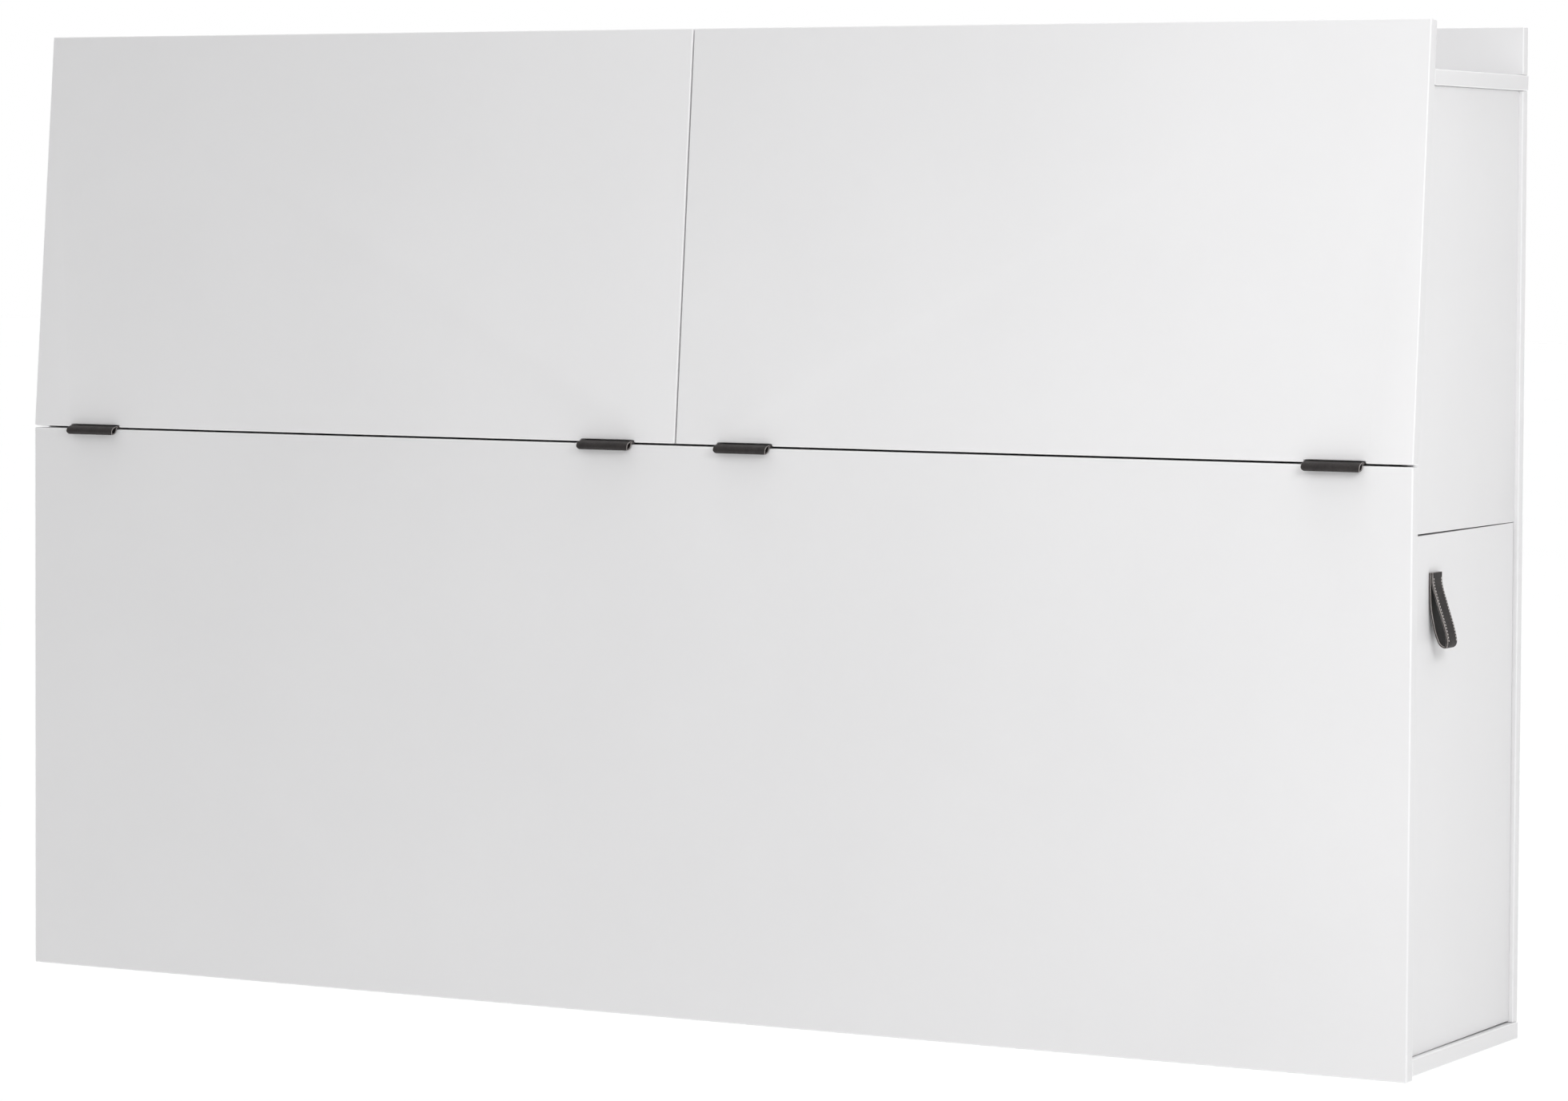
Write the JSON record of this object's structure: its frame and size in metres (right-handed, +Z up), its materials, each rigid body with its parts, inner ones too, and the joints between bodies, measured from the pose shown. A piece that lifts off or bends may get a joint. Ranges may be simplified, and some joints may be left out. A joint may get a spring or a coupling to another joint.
{
  "type": "murphy wall bed",
  "caption": "Wall-hung white cabinet whose lower front folds down as a single bed, with lift-up flaps above, side doors and leather pulls.",
  "frame": {"origin": "middle of the back board's rear face, which lies flat on the wall", "axes": "+X to the viewer's right along the wall, +Y into the wall, +Z up; the front faces -Y"},
  "size_m": [2.1608, 0.4044, 1.332],
  "materials": {
    "white_board": "matte",
    "dark_leather": "satin",
    "zinc_plated_steel": "satin",
    "dark_painted_steel": "satin",
    "chromed_rod": "polished",
    "birch_ply": "matte",
    "slat_wood": "satin",
    "mattress_ticking": "matte",
    "strap_webbing": "matte"
  },
  "bodies": {
    "cabinet": {"back_board": "white_board", "back_lip": "white_board", "top_board": "white_board", "bottom_board": "white_board", "bay_shelf": "white_board", "centre_divider": "white_board", "upper_side_left": "white_board", "front_post_left": "white_board", "hanging_rail_left": "birch_ply", "floor_angle_left": "zinc_plated_steel", "flap_hinge_board_leaf_left": "zinc_plated_steel", "bed_strut_bracket_left": "zinc_plated_steel", "flap_strut_bracket_left": "zinc_plated_steel", "upper_side_right": "white_board", "front_post_right": "white_board", "hanging_rail_right": "birch_ply", "floor_angle_right": "zinc_plated_steel", "flap_hinge_board_leaf_right": "zinc_plated_steel", "bed_strut_bracket_right": "zinc_plated_steel", "flap_strut_bracket_right": "zinc_plated_steel", "bed_hinge_board_leaf": "zinc_plated_steel", "door_hinge_arm_left_lower": "zinc_plated_steel", "door_hinge_arm_left_upper": "zinc_plated_steel", "door_hinge_arm_right_lower": "zinc_plated_steel", "door_hinge_arm_right_upper": "zinc_plated_steel"},
    "bed": {"bed_panel": "white_board", "bed_hinge_panel_leaf": "zinc_plated_steel", "bed_frame": "dark_painted_steel", "slatted_base": "slat_wood", "mattress": "mattress_ticking", "mattress_strap_left": "strap_webbing", "mattress_strap_right": "strap_webbing"},
    "left_flap": {"flap_left": "white_board", "flap_pull_left_inner": "dark_leather", "flap_pull_left_outer": "dark_leather", "flap_hinge_leaf_left": "zinc_plated_steel", "flap_strut_foot_left": "zinc_plated_steel"},
    "left_door": {"side_door_left": "white_board", "door_strap_left": "dark_leather", "door_hinge_cup_left_lower": "zinc_plated_steel", "door_hinge_cup_left_upper": "zinc_plated_steel"},
    "left_bed_strut": {"bed_strut_tube_left": "dark_painted_steel"},
    "left_bed_strut_rod": {"bed_strut_rod_left": "chromed_rod"},
    "left_flap_strut": {"flap_strut_tube_left": "dark_painted_steel"},
    "left_flap_strut_rod": {"flap_strut_rod_left": "chromed_rod"},
    "right_flap": {"flap_right": "white_board", "flap_pull_right_inner": "dark_leather", "flap_pull_right_outer": "dark_leather", "flap_hinge_leaf_right": "zinc_plated_steel", "flap_strut_foot_right": "zinc_plated_steel"},
    "right_door": {"side_door_right": "white_board", "door_strap_right": "dark_leather", "door_hinge_cup_right_lower": "zinc_plated_steel", "door_hinge_cup_right_upper": "zinc_plated_steel"},
    "right_bed_strut": {"bed_strut_tube_right": "dark_painted_steel"},
    "right_bed_strut_rod": {"bed_strut_rod_right": "chromed_rod"},
    "right_flap_strut": {"flap_strut_tube_right": "dark_painted_steel"},
    "right_flap_strut_rod": {"flap_strut_rod_right": "chromed_rod"}
  },
  "joints": [
    {"name": "bed_fold", "type": "hinge", "parent": "cabinet", "child": "bed", "pos_m": [0, -0.3675, -0.6355], "axis": [1, 0, 0], "range_deg": [0, 90], "deforming": ["flap_pull_left_inner", "flap_pull_left_outer", "flap_pull_right_inner", "flap_pull_right_outer"]},
    {"name": "flap_lift_left", "type": "hinge", "parent": "cabinet", "child": "left_flap", "pos_m": [-0.53, -0.3258, 0.6342], "axis": [-1, 0, 0], "range_deg": [0, 85]},
    {"name": "door_swing_left", "type": "hinge", "parent": "cabinet", "child": "left_door", "pos_m": [-1.0523, -0.0164, -0.282], "axis": [0, 0, -1], "range_deg": [0, 90]},
    {"name": "flap_lift_right", "type": "hinge", "parent": "cabinet", "child": "right_flap", "pos_m": [0.53, -0.3258, 0.6342], "axis": [-1, 0, 0], "range_deg": [0, 85]},
    {"name": "door_swing_right", "type": "hinge", "parent": "cabinet", "child": "right_door", "pos_m": [1.0523, -0.0164, -0.282], "axis": [0, 0, 1], "range_deg": [0, 90]},
    {"name": "bed_strut_turn_left", "type": "hinge", "parent": "cabinet", "child": "left_bed_strut", "pos_m": [-1.02, -0.05, -0.078], "axis": [1, 0, 0], "range_deg": [-6, 0]},
    {"name": "bed_strut_slide_left", "type": "slide", "parent": "left_bed_strut", "child": "left_bed_strut_rod", "axis": [0, -0.5686, -0.8226], "range_m": [0, 0.1787]},
    {"name": "flap_strut_turn_left", "type": "hinge", "parent": "cabinet", "child": "left_flap_strut", "pos_m": [-1.02, -0.09, 0.212], "axis": [1, 0, 0], "range_deg": [0, 6]},
    {"name": "flap_strut_slide_left", "type": "slide", "parent": "left_flap_strut", "child": "left_flap_strut_rod", "axis": [0, -0.622, 0.783], "range_m": [0, 0.187]},
    {"name": "bed_strut_turn_right", "type": "hinge", "parent": "cabinet", "child": "right_bed_strut", "pos_m": [1.02, -0.05, -0.078], "axis": [1, 0, 0], "range_deg": [-6, 0]},
    {"name": "bed_strut_slide_right", "type": "slide", "parent": "right_bed_strut", "child": "right_bed_strut_rod", "axis": [0, -0.5686, -0.8226], "range_m": [0, 0.1787]},
    {"name": "flap_strut_turn_right", "type": "hinge", "parent": "cabinet", "child": "right_flap_strut", "pos_m": [1.02, -0.09, 0.212], "axis": [1, 0, 0], "range_deg": [0, 6]},
    {"name": "flap_strut_slide_right", "type": "slide", "parent": "right_flap_strut", "child": "right_flap_strut_rod", "axis": [0, -0.622, 0.783], "range_m": [0, 0.187]}
  ],
  "couplings": [
    {"joint": "bed_strut_turn_left", "follows": "bed_fold", "ratio": -0.058123},
    {"joint": "bed_strut_slide_left", "follows": "bed_fold", "m_per_rad": 0.11343},
    {"joint": "flap_strut_turn_left", "follows": "flap_lift_left", "ratio": 0.056183},
    {"joint": "flap_strut_slide_left", "follows": "flap_lift_left", "m_per_rad": 0.1257},
    {"joint": "bed_strut_turn_right", "follows": "bed_fold", "ratio": -0.058123},
    {"joint": "bed_strut_slide_right", "follows": "bed_fold", "m_per_rad": 0.11343},
    {"joint": "flap_strut_turn_right", "follows": "flap_lift_right", "ratio": 0.056183},
    {"joint": "flap_strut_slide_right", "follows": "flap_lift_right", "m_per_rad": 0.1257}
  ]
}
